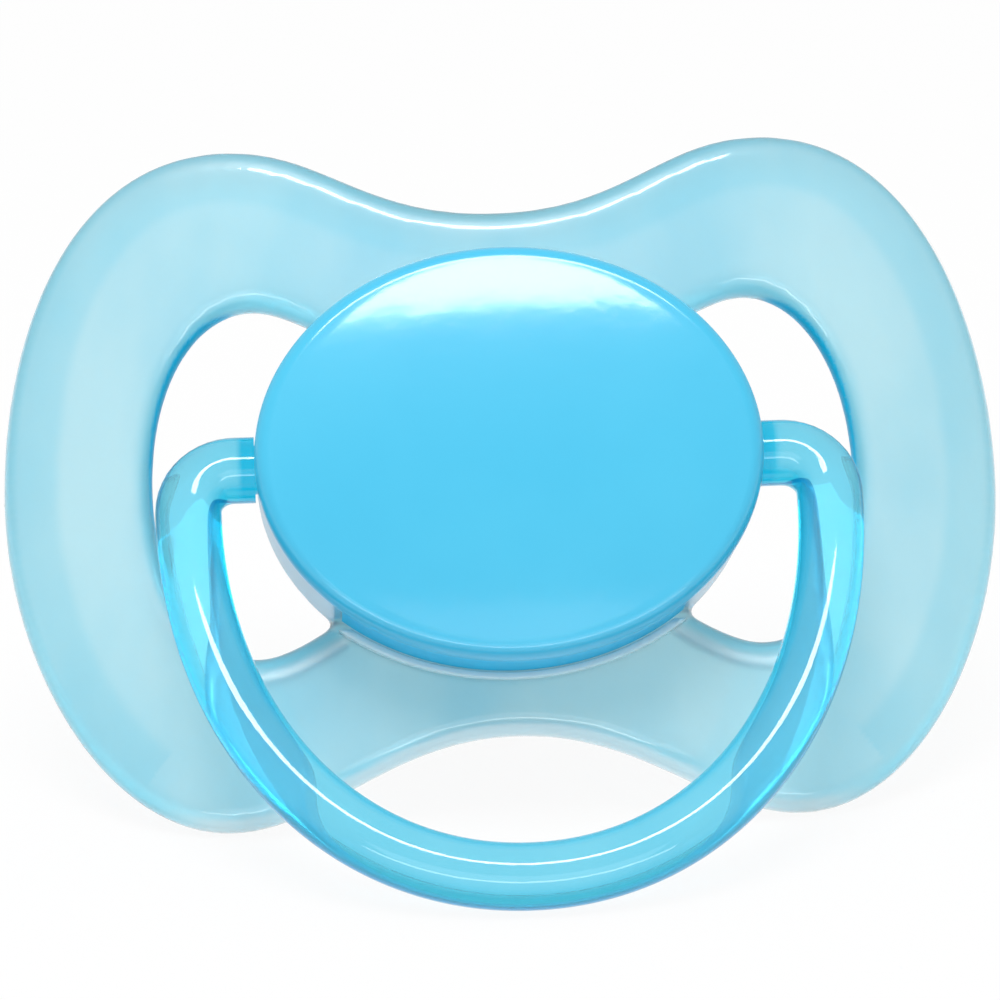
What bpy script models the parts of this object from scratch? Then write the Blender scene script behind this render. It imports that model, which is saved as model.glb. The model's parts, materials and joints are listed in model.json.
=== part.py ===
# Pacifier: butterfly shield, silicone teat, plug, swinging ring handle and button cover.
# Each piece is modelled upright, in metres: X across, Y towards the mouth, Z up, with the hub's
# axis through the origin and the shield's middle plane at Y = 0. The whole then leans back, as it
# lies on a table, on the two lower lobes of the shield, the tip of the teat and the ring.

from math import cos, pi, radians, sin, sqrt

import bmesh
import bpy
from mathutils import Matrix, Vector

# Fits between the pieces
clearance = 0.0003
overlap = 0.0005

# Shield plate: outline nodes from the hub's centre, and how far each curve reaches from its node
shield_width = 0.058
shield_thickness = 0.0028
shield_edge_radius = 0.00125
shield_sweep_radius = 0.090
waist_height = 0.0
waist_reach_up = 0.0091
waist_reach_down = 0.0100
notch_height = 0.01535
notch_reach = 0.0079
crest_height = 0.01985
crest_offset = 0.0161
crest_reach_in = 0.0063
crest_reach_out = 0.0092
foot_depth = 0.0201
foot_offset = 0.0161
foot_reach_out = 0.0071
foot_reach_in = 0.0052
arch_depth = 0.0153
arch_reach = 0.0073

# Vents beside the hub
vent_width = 0.0059
vent_height = 0.0204
vent_side_reach = 0.0062
vent_top_reach = 0.0032
vent_corner_reach = 0.0018

# Button cover: an oval cap with a skirt above and below and a window at each side
cover_width = 0.0288
cover_height = 0.0238
cover_front = 0.0079
cover_dome_rise = 0.0010
cover_edge_radius = 0.0010
cover_wall = 0.0012
cover_ceiling = 0.0056
window_height = 0.0172
skirt_step = 0.00015
snap_bead = 0.0005
snap_bead_width = 0.0006
snap_bead_front = 0.0035
boss_radius = 0.0062
boss_wall = 0.0012

# Hub of the shield
collar_wall = 0.0014
cheek_step = 0.0001
hub_recess_depth = 0.0012
seat_step = 0.0001
lip_width = 0.0007
lip_height = 0.0006
lip_span = 0.0192
boss_back_height = 0.0008
boss_back_edge = 0.0003

# Ring handle
ring_bar = 0.0039
ring_side_gap = 0.00185
ring_drop = 0.0252
ring_corner = 0.0026
ring_side_reach = 0.0129
ring_bottom_reach = 0.0107
ring_axis_front = 0.0033
journal_diameter = 0.0028
head_diameter = 0.0039
head_length = 0.0012
head_chamfer = 0.0003

# Teat and plug
neck_radius = 0.0057
neck_waist_radius = 0.0050
teat_wall = 0.0012
teat_flange_radius = 0.0083
teat_flange_thickness = 0.0015
teat_length = 0.0296
bulb_height = 0.0116
bulb_width = 0.0150
bulb_start = 0.0080
bulb_full = 0.0200
plug_flange_thickness = 0.0014
plug_stem_length = 0.0055
plug_wall = 0.0014
plug_chamfer = 0.0008

# Facets
curve_steps = 8
tube_steps = 10
oval_steps = 56
round_steps = 40
pin_steps = 20
bend_spacing = 0.004
quarter_arc_reach = 0.5523
weld_distance = 0.00001

# Sizes that follow from the ones above
half_thickness = shield_thickness / 2
oval = cover_height / cover_width
cover_half = cover_width / 2
skirt_inner = cover_half - cover_wall
collar_outer = skirt_inner - clearance
collar_inner = collar_outer - collar_wall
collar_front = cover_ceiling - clearance
cheek_outer = cover_half - cheek_step
cheek_half_height = window_height / 2 - clearance
skirt_seat = half_thickness + seat_step
hub_floor = half_thickness - hub_recess_depth
seat_back = -half_thickness - boss_back_height
ring_shoulder = cover_half + clearance
ring_half_width = cover_half + ring_side_gap + ring_bar / 2
journal_radius = journal_diameter / 2
bearing_radius = journal_radius + clearance
teat_flange_back = hub_floor + clearance
teat_flange_front = teat_flange_back + teat_flange_thickness
plug_flange_back = teat_flange_front + clearance
plug_flange_front = plug_flange_back + plug_flange_thickness
recess_radius = teat_flange_radius + clearance
bore_radius = neck_radius + clearance
stem_radius = neck_radius - teat_wall - clearance


def sweep_back(x):
    # How far the wings have curved towards the face at this distance from the middle
    return shield_sweep_radius - sqrt(shield_sweep_radius ** 2 - x ** 2)


def oval_reach(radius, height):
    # How far out an oval of this half width lies at this height
    return radius * sqrt(1 - (height / (radius * oval)) ** 2)


def smooth_step(value):
    t = min(max(value, 0.0), 1.0)
    return t * t * (3 - 2 * t)


def clear_scene():
    for item in list(bpy.data.objects):
        bpy.data.objects.remove(item)


def new_collection(name):
    collection = bpy.data.collections.new(name)
    bpy.context.scene.collection.children.link(collection)
    return collection


def plastic(name, colour, roughness, transmission):
    material = bpy.data.materials.new(name)
    material.use_nodes = True
    shader = material.node_tree.nodes["Principled BSDF"]
    shader.inputs["Base Color"].default_value = (*colour, 1.0)
    shader.inputs["Roughness"].default_value = roughness
    shader.inputs["Metallic"].default_value = 0.0
    shader.inputs["Transmission Weight"].default_value = transmission
    return material


def weld(mesh):
    work = bmesh.new()
    work.from_mesh(mesh)
    bmesh.ops.remove_doubles(work, verts=work.verts, dist=weld_distance)
    bmesh.ops.dissolve_degenerate(work, edges=work.edges, dist=weld_distance / 2)
    bmesh.ops.recalc_face_normals(work, faces=work.faces)
    work.to_mesh(mesh)
    work.free()


def plain_mesh(source):
    # The evaluated shape of a curve or a modified object, as a welded mesh; the source is removed
    scene = bpy.context.scene
    scene.collection.objects.link(source)
    depsgraph = bpy.context.evaluated_depsgraph_get()
    mesh = bpy.data.meshes.new_from_object(source.evaluated_get(depsgraph), depsgraph=depsgraph)
    bpy.data.objects.remove(source)
    weld(mesh)
    return mesh


def add_bezier(curve, nodes, closed):
    # Each node is its point, its direction of travel and the reach of its two handles
    spline = curve.splines.new("BEZIER")
    spline.bezier_points.add(len(nodes) - 1)
    spline.use_cyclic_u = closed
    for node, (point, direction, reach_in, reach_out) in zip(spline.bezier_points, nodes):
        place = Vector((*point, 0.0))
        travel = Vector((*direction, 0.0))
        node.handle_left_type = "FREE"
        node.handle_right_type = "FREE"
        node.co = place
        node.handle_left = place - travel * reach_in
        node.handle_right = place + travel * reach_out


right = (1, 0)
left = (-1, 0)
up = (0, 1)
down = (0, -1)
upright = Matrix.Rotation(pi / 2, 4, "X")


def turned(name, profile, closed, steps):
    # Profile points are (radius, height in front of the shield's middle plane)
    count = len(profile)
    edges = [(i, i + 1) for i in range(count - 1)]
    if closed:
        edges.append((count - 1, 0))
    mesh = bpy.data.meshes.new(name)
    mesh.from_pydata([(radius, 0.0, height) for radius, height in profile], edges, [])
    lathe = bpy.data.objects.new(name, mesh)
    screw = lathe.modifiers.new("Screw", "SCREW")
    screw.axis = "Z"
    screw.angle = 2 * pi
    screw.steps = steps
    screw.render_steps = steps
    screw.use_merge_vertices = True
    screw.merge_threshold = weld_distance
    screw.use_normal_calculate = True
    return plain_mesh(lathe)


def turned_oval(name, profile, closed=True):
    mesh = turned(name, profile, closed, oval_steps)
    mesh.transform(Matrix.Diagonal((1, 1, oval, 1)) @ upright)
    return mesh


def turned_round(name, profile):
    mesh = turned(name, profile, False, round_steps)
    mesh.transform(upright)
    return mesh


def box_mesh(name, low, high):
    mesh = bpy.data.meshes.new(name)
    work = bmesh.new()
    bmesh.ops.create_cube(work, size=1.0)
    size = Vector(high) - Vector(low)
    middle = (Vector(high) + Vector(low)) / 2
    bmesh.ops.scale(work, vec=size, verts=work.verts)
    bmesh.ops.translate(work, vec=middle, verts=work.verts)
    work.to_mesh(mesh)
    work.free()
    return mesh


def cross_pin_mesh(name, radius, half_length):
    # A cylinder across the hub, along X through the origin
    mesh = bpy.data.meshes.new(name)
    work = bmesh.new()
    bmesh.ops.create_cone(work, cap_ends=True, segments=pin_steps * 2, radius1=radius, radius2=radius,
                          depth=2 * half_length, matrix=Matrix.Rotation(pi / 2, 4, "Y"))
    work.to_mesh(mesh)
    work.free()
    return mesh


def add_piece(name, mesh, material, parent):
    piece = bpy.data.objects.new(name, mesh)
    parts.objects.link(piece)
    mesh.materials.clear()
    mesh.materials.append(material)
    mesh.shade_smooth()
    mesh.set_sharp_from_angle(angle=radians(35))
    piece.parent = parent
    return piece


def combine(piece, name, operation, meshes):
    # One Boolean with a whole group of tools, so that no step works on another's rounded result
    group = bpy.data.collections.new(name)
    cutters.children.link(group)
    for mesh in meshes:
        tool = bpy.data.objects.new(mesh.name, mesh)
        group.objects.link(tool)
        tool.hide_render = True
        tool.display_type = "WIRE"
        tool.parent = piece.parent
    modifier = piece.modifiers.new(name, "BOOLEAN")
    modifier.operation = operation
    modifier.solver = "EXACT"
    modifier.operand_type = "COLLECTION"
    modifier.collection = group
    piece.modifiers.new(name + "_facets", "TRIANGULATE")


def keep_band(mesh, half_height, inside):
    # Cuts a mesh level at plus and minus half_height and keeps what lies inside or outside
    work = bmesh.new()
    work.from_mesh(mesh)
    if inside:
        for side in (1, -1):
            geometry = work.verts[:] + work.edges[:] + work.faces[:]
            cut = bmesh.ops.bisect_plane(work, geom=geometry, plane_co=(0, 0, side * half_height),
                                         plane_no=(0, 0, side), clear_outer=True)
            rim = [item for item in cut["geom_cut"] if isinstance(item, bmesh.types.BMEdge)]
            bmesh.ops.edgeloop_fill(work, edges=rim)
    else:
        upper = work.copy()
        for half, side in ((upper, 1), (work, -1)):
            geometry = half.verts[:] + half.edges[:] + half.faces[:]
            cut = bmesh.ops.bisect_plane(half, geom=geometry, plane_co=(0, 0, side * half_height),
                                         plane_no=(0, 0, side), clear_inner=True)
            rim = [item for item in cut["geom_cut"] if isinstance(item, bmesh.types.BMEdge)]
            bmesh.ops.edgeloop_fill(half, edges=rim)
        joined = bpy.data.meshes.new("upper_band")
        upper.to_mesh(joined)
        upper.free()
        work.from_mesh(joined)
        bpy.data.meshes.remove(joined)
    bmesh.ops.recalc_face_normals(work, faces=work.faces)
    work.to_mesh(mesh)
    work.free()
    return mesh


def plate_mesh():
    curve = bpy.data.curves.new("shield_plate", "CURVE")
    curve.dimensions = "2D"
    curve.fill_mode = "BOTH"
    curve.resolution_u = curve_steps
    curve.extrude = half_thickness - shield_edge_radius
    curve.bevel_depth = shield_edge_radius
    curve.bevel_resolution = 2
    curve.offset = -shield_edge_radius

    notch = ((0.0, notch_height), right, notch_reach, notch_reach)
    arch = ((0.0, -arch_depth), left, arch_reach, arch_reach)
    wing = [
        ((crest_offset, crest_height), right, crest_reach_in, crest_reach_out),
        ((shield_width / 2, waist_height), down, waist_reach_up, waist_reach_down),
        ((foot_offset, -foot_depth), left, foot_reach_out, foot_reach_in),
    ]
    add_bezier(curve, [notch, *wing, arch, *mirrored(wing)], closed=True)

    corner_height = cheek_half_height
    corner = oval_reach(cheek_outer, corner_height) - clearance
    inner = (collar_inner + cheek_outer) / 2
    half_height = vent_height / 2
    vent = [
        ((corner, corner_height), up, 0.0, 0.0),
        ((cover_half, half_height), right, vent_corner_reach, vent_top_reach),
        ((cover_half + vent_width, 0.0), down, vent_side_reach, vent_side_reach),
        ((cover_half, -half_height), left, vent_top_reach, vent_corner_reach),
        ((corner, -corner_height), up, 0.0, 0.0),
        ((inner, 0.0), up, corner_height / 2, corner_height / 2),
    ]
    add_bezier(curve, vent, closed=True)
    add_bezier(curve, mirrored(vent), closed=True)

    mesh = plain_mesh(bpy.data.objects.new("shield_plate", curve))
    mesh.transform(upright)
    bend(mesh)
    return mesh


def mirrored(nodes):
    # The same run of nodes on the other side of the middle, travelled the other way
    flipped = []
    for (x, z), (dx, dz), reach_in, reach_out in reversed(nodes):
        flipped.append(((-x, z), (dx, -dz), reach_out, reach_in))
    return flipped


def bend(mesh):
    work = bmesh.new()
    work.from_mesh(mesh)
    count = int(shield_width / bend_spacing)
    for i in range(count):
        place = (i - (count - 1) / 2) * bend_spacing
        geometry = work.verts[:] + work.edges[:] + work.faces[:]
        bmesh.ops.bisect_plane(work, geom=geometry, plane_co=(place, 0, 0), plane_no=(1, 0, 0))
    for vertex in work.verts:
        vertex.co.y += sweep_back(vertex.co.x)
    bmesh.ops.triangulate(work, faces=[face for face in work.faces if len(face.verts) > 4])
    work.to_mesh(mesh)
    work.free()


def collar_mesh():
    groove = collar_outer - snap_bead
    groove_front = snap_bead_front + clearance
    groove_back = snap_bead_front - snap_bead_width - clearance
    profile = [
        (collar_inner, collar_front),
        (collar_outer, collar_front),
        (collar_outer, groove_front),
        (groove, groove_front),
        (groove, groove_back),
        (collar_outer, groove_back),
        (collar_outer, -overlap),
        (collar_inner, -overlap),
    ]
    return turned_oval("collar", profile)


def cheeks_mesh():
    # The collar thickens at the sides, where the windows of the cover show it
    inner = collar_outer - collar_wall / 2
    front = collar_front - cheek_step
    back = -half_thickness + cheek_step
    profile = [
        (inner, front),
        (cheek_outer, front),
        (cheek_outer, back),
        (inner, back),
    ]
    return keep_band(turned_oval("cheeks", profile), cheek_half_height, inside=True)


def lip_mesh():
    inner = cover_half + clearance
    outer = inner + lip_width
    front = skirt_seat + lip_height
    profile = [
        (collar_outer - overlap, skirt_seat),
        (inner, skirt_seat),
        (inner, front),
        (outer - lip_width / 2, front),
        (outer, front - lip_height / 2),
        (outer, -overlap),
        (collar_outer - overlap, -overlap),
    ]
    return keep_band(turned_oval("lip", profile), lip_span / 2, inside=False)


def teat_seat_mesh():
    profile = [
        (0.0, -overlap),
        (recess_radius, -overlap),
        (recess_radius, seat_back + boss_back_edge),
        (recess_radius - boss_back_edge, seat_back),
        (0.0, seat_back),
    ]
    return turned_round("teat_seat", profile)


def teat_recess_mesh():
    profile = [
        (0.0, cover_front),
        (recess_radius, cover_front),
        (recess_radius, hub_floor),
        (bore_radius, hub_floor),
        (bore_radius, seat_back - overlap),
        (0.0, seat_back - overlap),
    ]
    return turned_round("teat_recess", profile)


def saddle_mesh():
    # A bearing that is drawn out to the front, so that the ring's journals drop in from there
    mesh = cross_pin_mesh("saddle", bearing_radius, cover_half)
    for vertex in mesh.vertices:
        if vertex.co.y < -weld_distance:
            vertex.co.y -= cover_front - ring_axis_front
    mesh.transform(Matrix.Translation((0, -ring_axis_front, 0)))
    return mesh


def build_shield(parent, material):
    shield = add_piece("shield", plate_mesh(), material, parent)
    walls = [collar_mesh(), cheeks_mesh(), lip_mesh(), teat_seat_mesh()]
    combine(shield, "hub_walls", "UNION", walls)
    combine(shield, "hub_cuts", "DIFFERENCE", [teat_recess_mesh(), saddle_mesh()])
    return shield


def cap_mesh():
    edge_start = cover_half - cover_edge_radius
    edge_front = cover_front - cover_dome_rise
    rings = 6
    profile = []
    for i in range(rings + 1):
        share = i / rings
        profile.append((edge_start * share, cover_front - cover_dome_rise * share ** 2))
    for i in range(1, rings + 1):
        turn = pi / 2 * i / rings
        profile.append((edge_start + cover_edge_radius * sin(turn),
                        edge_front - cover_edge_radius * (1 - cos(turn))))
    boss_back = plug_flange_front + clearance
    profile += [
        (cover_half, cover_ceiling),
        (boss_radius, cover_ceiling),
        (boss_radius, boss_back),
        (boss_radius - boss_wall, boss_back),
        (boss_radius - boss_wall, cover_ceiling),
        (0.0, cover_ceiling),
    ]
    return turned_oval("button_cover", profile, closed=False)


def skirt_mesh():
    # Two arcs of skirt, above and below, with a bead that snaps into the groove of the collar
    skirt_back = skirt_seat + clearance
    bead = skirt_inner - snap_bead
    outer = cover_half - skirt_step
    profile = [
        (outer, cover_ceiling + overlap),
        (outer, skirt_back),
        (skirt_inner, skirt_back),
        (skirt_inner, snap_bead_front - snap_bead_width),
        (bead, snap_bead_front - snap_bead_width * 3 / 4),
        (bead, snap_bead_front - snap_bead_width / 4),
        (skirt_inner, snap_bead_front),
        (skirt_inner, cover_ceiling + overlap),
    ]
    return keep_band(turned_oval("skirt", profile), window_height / 2, inside=False)


def bearing_tab_mesh(side):
    # Closes the saddle over a journal
    tab_half = bearing_radius - clearance
    ends = (side * (collar_inner + clearance), side * (cheek_outer - clearance))
    return box_mesh("bearing_tab", (min(ends), -cover_ceiling - overlap, -tab_half),
                    (max(ends), -ring_axis_front, tab_half))


def build_cover(parent, material):
    cover = add_piece("button_cover", cap_mesh(), material, parent)
    tabs = [bearing_tab_mesh(side) for side in (-1, 1)]
    combine(cover, "cover_walls", "UNION", [skirt_mesh(), *tabs])
    crown = cross_pin_mesh("bearing_crown", bearing_radius, cover_half)
    crown.transform(Matrix.Translation((0, -ring_axis_front, 0)))
    combine(cover, "cover_cuts", "DIFFERENCE", [crown])
    return cover


def ring_tube_mesh():
    # A round bar bent to a U in the plane through the hinge axis, which is the line z = 0
    curve = bpy.data.curves.new("ring_bar", "CURVE")
    curve.dimensions = "3D"
    curve.resolution_u = tube_steps
    curve.bevel_depth = ring_bar / 2
    curve.bevel_resolution = 4
    curve.use_fill_caps = True
    corner_start = ring_half_width - ring_corner
    arm_reach = (corner_start - ring_shoulder) / 2
    bend_reach = quarter_arc_reach * ring_corner
    arm = [
        ((ring_shoulder, 0.0), right, 0.0, arm_reach),
        ((corner_start, 0.0), right, arm_reach, bend_reach),
        ((ring_half_width, -ring_corner), down, bend_reach, ring_side_reach),
    ]
    bottom = ((0.0, -ring_drop), left, ring_bottom_reach, ring_bottom_reach)
    add_bezier(curve, [*arm, bottom, *mirrored(arm)], closed=False)
    mesh = plain_mesh(bpy.data.objects.new("ring_bar", curve))
    mesh.transform(upright)
    return mesh


def journal_mesh(side):
    # The turned-down end of the bar, with a head that stays behind the wall of the collar
    radius = head_diameter / 2
    root = ring_shoulder + overlap
    head_outer = oval_reach(collar_inner, radius) - clearance
    head_inner = head_outer - head_length
    profile = [
        (0.0, root),
        (journal_radius, root),
        (journal_radius, head_outer),
        (radius - head_chamfer, head_outer),
        (radius, head_outer - head_chamfer),
        (radius, head_inner + head_chamfer),
        (radius - head_chamfer, head_inner),
        (0.0, head_inner),
    ]
    mesh = turned("journal", profile, False, pin_steps)
    mesh.transform(Matrix.Rotation(side * pi / 2, 4, "Y"))
    return mesh


def build_ring(pivot, material):
    ring = add_piece("ring_handle", ring_tube_mesh(), material, pivot)
    combine(ring, "journals", "UNION", [journal_mesh(side) for side in (-1, 1)])
    return ring


def teat_outline(inset):
    # (radius, height) down the outside of the bulb, or of its hollow when inset by the wall
    back = half_thickness
    end_radius = bulb_height / 2
    end_centre = back + teat_length - end_radius
    points = []
    stations = 9
    for i in range(stations):
        reach = back + boss_back_height + (end_centre - back - boss_back_height) * i / (stations - 1)
        base = smooth_step(1 - (reach - back - boss_back_height) / bulb_start)
        bulb = smooth_step((reach - bulb_start) / (bulb_full - bulb_start))
        radius = neck_waist_radius + (neck_radius - neck_waist_radius) * base
        radius += (end_radius - neck_waist_radius) * bulb
        points.append((radius - inset, -reach))
    turns = 5
    for i in range(1, turns + 1):
        angle = pi / 2 * i / turns
        points.append(((end_radius - inset) * cos(angle), -end_centre - (end_radius - inset) * sin(angle)))
    points[-1] = (0.0, points[-1][1])
    return points


def build_teat(parent, material):
    outside = [
        (neck_radius - teat_wall, teat_flange_front),
        (teat_flange_radius, teat_flange_front),
        (teat_flange_radius, teat_flange_back),
        (neck_radius, teat_flange_back),
    ]
    profile = list(reversed(teat_outline(teat_wall))) + outside + teat_outline(0.0)
    mesh = turned_round("teat", profile)
    widen = bulb_width / bulb_height - 1
    for vertex in mesh.vertices:
        vertex.co.x *= 1 + widen * smooth_step((vertex.co.y - bulb_start) / (bulb_full - bulb_start))
    return add_piece("teat", mesh, material, parent)


def build_plug(parent, material):
    stem_back = plug_flange_back - plug_stem_length
    hollow_radius = stem_radius - plug_wall
    hollow_back = stem_back + plug_wall
    profile = [
        (0.0, hollow_back),
        (hollow_radius, hollow_back),
        (hollow_radius, plug_flange_front),
        (teat_flange_radius, plug_flange_front),
        (teat_flange_radius, plug_flange_back),
        (stem_radius, plug_flange_back),
        (stem_radius, stem_back + plug_chamfer),
        (stem_radius - plug_chamfer, stem_back),
        (0.0, stem_back),
    ]
    return add_piece("plug", turned_round("plug", profile), material, parent)


def shape_points(piece):
    depsgraph = bpy.context.evaluated_depsgraph_get()
    solid = piece.evaluated_get(depsgraph)
    points = [vertex.co.copy() for vertex in solid.to_mesh().vertices]
    solid.to_mesh_clear()
    return points


def lowest(points, lean):
    return min(point.z * cos(lean) - point.y * sin(lean) for point in points)


def solve(rises, low, high):
    # The angle at which a rising function crosses zero
    for _ in range(50):
        middle = (low + high) / 2
        if rises(middle) < 0:
            low = middle
        else:
            high = middle
    return (low + high) / 2


def lay_on_table(body, pivot, fixed, ring):
    shield_points = shape_points(fixed["shield"])
    teat_points = shape_points(fixed["teat"])
    ring_points = shape_points(ring)
    lean = solve(lambda angle: lowest(shield_points, angle) - lowest(teat_points, angle), 0.0, radians(80))
    table = lowest(shield_points, lean)

    def ring_height(splay):
        swing = Matrix.Rotation(-splay, 3, "X")
        moved = [swing @ point - Vector((0, ring_axis_front, 0)) for point in ring_points]
        return lowest(moved, lean) - table

    splay = solve(ring_height, 0.0, radians(90))
    body.rotation_euler = (-lean, 0, 0)
    pivot.rotation_euler = (-splay, 0, 0)
    bpy.context.view_layer.update()

    corners = [piece.matrix_world @ point for piece in (*fixed.values(), ring) for point in shape_points(piece)]
    middle = [(min(c[k] for c in corners) + max(c[k] for c in corners)) / 2 for k in range(2)]
    body.location = (-middle[0], -middle[1], -min(corner.z for corner in corners))


clear_scene()
parts = new_collection("pacifier")
cutters = new_collection("cutters")

body = bpy.data.objects.new("body", None)
parts.objects.link(body)
ring_pivot = bpy.data.objects.new("ring_pivot", None)
parts.objects.link(ring_pivot)
ring_pivot.parent = body
ring_pivot.location = (0, -ring_axis_front, 0)

pale_plastic = plastic("pale_blue_polypropylene", (0.50, 0.80, 0.92), 0.30, 0.6)
blue_plastic = plastic("blue_polypropylene", (0.13, 0.66, 0.93), 0.12, 0.3)
ring_plastic = plastic("clear_blue_polypropylene", (0.17, 0.72, 0.92), 0.12, 0.6)
white_plastic = plastic("white_polypropylene", (0.85, 0.87, 0.88), 0.35, 0.2)
silicone = plastic("clear_silicone", (0.88, 0.88, 0.84), 0.25, 0.8)

fixed_pieces = {
    "shield": build_shield(body, pale_plastic),
    "teat": build_teat(body, silicone),
    "plug": build_plug(body, white_plastic),
    "button_cover": build_cover(body, blue_plastic),
}
ring_handle = build_ring(ring_pivot, ring_plastic)
lay_on_table(body, ring_pivot, fixed_pieces, ring_handle)
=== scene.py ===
import json
from math import atan2, cos, degrees, pi, radians, sin, sqrt, tan

import bmesh
import bpy
from mathutils import Matrix, Vector
from mathutils.kdtree import KDTree


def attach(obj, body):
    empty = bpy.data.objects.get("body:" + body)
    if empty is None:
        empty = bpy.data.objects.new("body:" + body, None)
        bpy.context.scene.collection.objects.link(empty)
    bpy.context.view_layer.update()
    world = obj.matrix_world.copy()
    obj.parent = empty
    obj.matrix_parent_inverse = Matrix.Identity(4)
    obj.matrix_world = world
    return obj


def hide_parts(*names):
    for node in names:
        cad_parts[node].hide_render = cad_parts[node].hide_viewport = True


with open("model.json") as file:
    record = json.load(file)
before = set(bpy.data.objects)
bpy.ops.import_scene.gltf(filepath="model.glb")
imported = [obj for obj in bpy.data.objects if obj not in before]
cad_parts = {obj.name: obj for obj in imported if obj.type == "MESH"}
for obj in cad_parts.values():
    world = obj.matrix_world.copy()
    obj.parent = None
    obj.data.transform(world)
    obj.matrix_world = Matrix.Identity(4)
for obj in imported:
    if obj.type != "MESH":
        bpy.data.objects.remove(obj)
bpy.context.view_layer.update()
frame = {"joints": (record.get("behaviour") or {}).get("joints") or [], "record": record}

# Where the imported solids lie: the hinge of the ring, the lean of the hub and the splay of the ring
hinge = Vector(frame["joints"][0]["pos_m"])
mounts = {mount["name"]: mount for mount in frame["record"]["mounts"]}
hubBack = Vector(mounts["teat_seat_back"]["axis"]).normalized()
ringReach = Vector(mounts["ring_loop"]["pos_m"]) - hinge

# Lengths are in metres. Pieces are drawn upright: x to the right, y to the mouth, z up
fits = {"clearance": 0.0003, "overlap": 0.0005, "axisFront": 0.0033}
gap, sink = fits["clearance"], fits["overlap"]
lean = atan2(-hubBack.z, hubBack.y)
ringTurn = atan2(-ringReach.y, -ringReach.z)
hub = hinge + hubBack * fits["axisFront"]
hubPlace = Matrix.Translation(hub) @ Matrix.Rotation(-lean, 4, "X")         # upright drawing to table
ringPlace = Matrix.Translation(hinge) @ Matrix.Rotation(-ringTurn, 4, "X")
upright = Matrix.Rotation(pi / 2, 4, "X")                                   # lathe axis to the front
right, left, up, down = (1, 0), (-1, 0), (0, 1), (0, -1)                    # ways along a drawn path
print("frame: lean %.2f deg, ring %.2f deg" % (degrees(lean), degrees(ringTurn)))


# Tools for meshes

tooling = {"weld": 0.000004, "sliver": 0.000002, "ovalSteps": 168, "roundSteps": 96, "pinSides": 64,
           "cornerRadius": 0.00015, "cornerSteps": 4, "cornerShare": 0.45, "straightAngle": 165}


def smoothStep(value):
    t = min(max(value, 0.0), 1.0)
    return t * t * (3 - 2 * t)


def weld(mesh):
    work = bmesh.new()
    work.from_mesh(mesh)
    bmesh.ops.remove_doubles(work, verts=work.verts, dist=tooling["weld"])
    bmesh.ops.dissolve_degenerate(work, edges=work.edges, dist=tooling["sliver"])
    bmesh.ops.recalc_face_normals(work, faces=work.faces)
    work.to_mesh(mesh)
    work.free()


def bakedMesh(source):
    # evaluated shape as a plain mesh, the source object is dropped
    if source.name not in bpy.context.scene.collection.objects:
        bpy.context.scene.collection.objects.link(source)
    depsgraph = bpy.context.evaluated_depsgraph_get()
    mesh = bpy.data.meshes.new_from_object(source.evaluated_get(depsgraph), depsgraph=depsgraph)
    bpy.data.objects.remove(source)
    return mesh


def softCorners(profile, radius, closed):
    # every corner of a lathe profile becomes a small arc, as a mould leaves it
    count = len(profile)
    steps = tooling["cornerSteps"]
    soft = []
    for i, corner in enumerate(profile):
        here = Vector(corner)
        if not closed and i in (0, count - 1):
            soft.append(corner)
            continue
        back = Vector(profile[i - 1]) - here
        ahead = Vector(profile[(i + 1) % count]) - here
        bend = back.angle(ahead)
        if bend > radians(tooling["straightAngle"]):
            soft.append(corner)
            continue
        longest = min(back.length, ahead.length) * tooling["cornerShare"]
        reach = min(radius / tan(bend / 2), longest)
        start = here + back.normalized() * reach
        end = here + ahead.normalized() * reach
        for k in range(steps + 1):
            t = k / steps
            point = start * (1 - t) ** 2 + here * 2 * t * (1 - t) + end * t * t
            soft.append((point.x, point.y))
    return soft


def lathe(name, profile, closed, steps, radius):
    # profile points are (radius, height in front of the shield's middle plane), radius 0 keeps it sharp
    points = softCorners(profile, radius, closed) if radius else profile
    edges = [(i, i + 1) for i in range(len(points) - 1)]
    if closed:
        edges.append((len(points) - 1, 0))
    mesh = bpy.data.meshes.new(name)
    mesh.from_pydata([(r, 0.0, h) for r, h in points], edges, [])
    blank = bpy.data.objects.new(name, mesh)
    screw = blank.modifiers.new("Screw", "SCREW")
    screw.axis = "Z"
    screw.angle = 2 * pi
    screw.steps = steps
    screw.render_steps = steps
    screw.use_merge_vertices = True
    screw.merge_threshold = tooling["weld"]
    screw.use_normal_calculate = True
    turned = bakedMesh(blank)
    weld(turned)
    return turned


def ovalLathe(name, profile, closed=True, radius=tooling["cornerRadius"]):
    mesh = lathe(name, profile, closed, tooling["ovalSteps"], radius)
    mesh.transform(Matrix.Diagonal((1, 1, oval, 1)) @ upright)
    return mesh


def roundLathe(name, profile, radius=tooling["cornerRadius"]):
    mesh = lathe(name, profile, False, tooling["roundSteps"], radius)
    mesh.transform(upright)
    return mesh


def block(name, low, high):
    mesh = bpy.data.meshes.new(name)
    work = bmesh.new()
    bmesh.ops.create_cube(work, size=1.0)
    bmesh.ops.scale(work, vec=Vector(high) - Vector(low), verts=work.verts)
    bmesh.ops.translate(work, vec=(Vector(high) + Vector(low)) / 2, verts=work.verts)
    work.to_mesh(mesh)
    work.free()
    return mesh


def crossPin(name, radius, halfLength):
    # a pin along the hinge of the ring
    mesh = bpy.data.meshes.new(name)
    work = bmesh.new()
    bmesh.ops.create_cone(work, cap_ends=True, segments=tooling["pinSides"], radius1=radius,
                          radius2=radius, depth=2 * halfLength, matrix=Matrix.Rotation(pi / 2, 4, "Y"))
    bmesh.ops.translate(work, vec=(0, -fits["axisFront"], 0), verts=work.verts)
    work.to_mesh(mesh)
    work.free()
    return mesh


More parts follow.
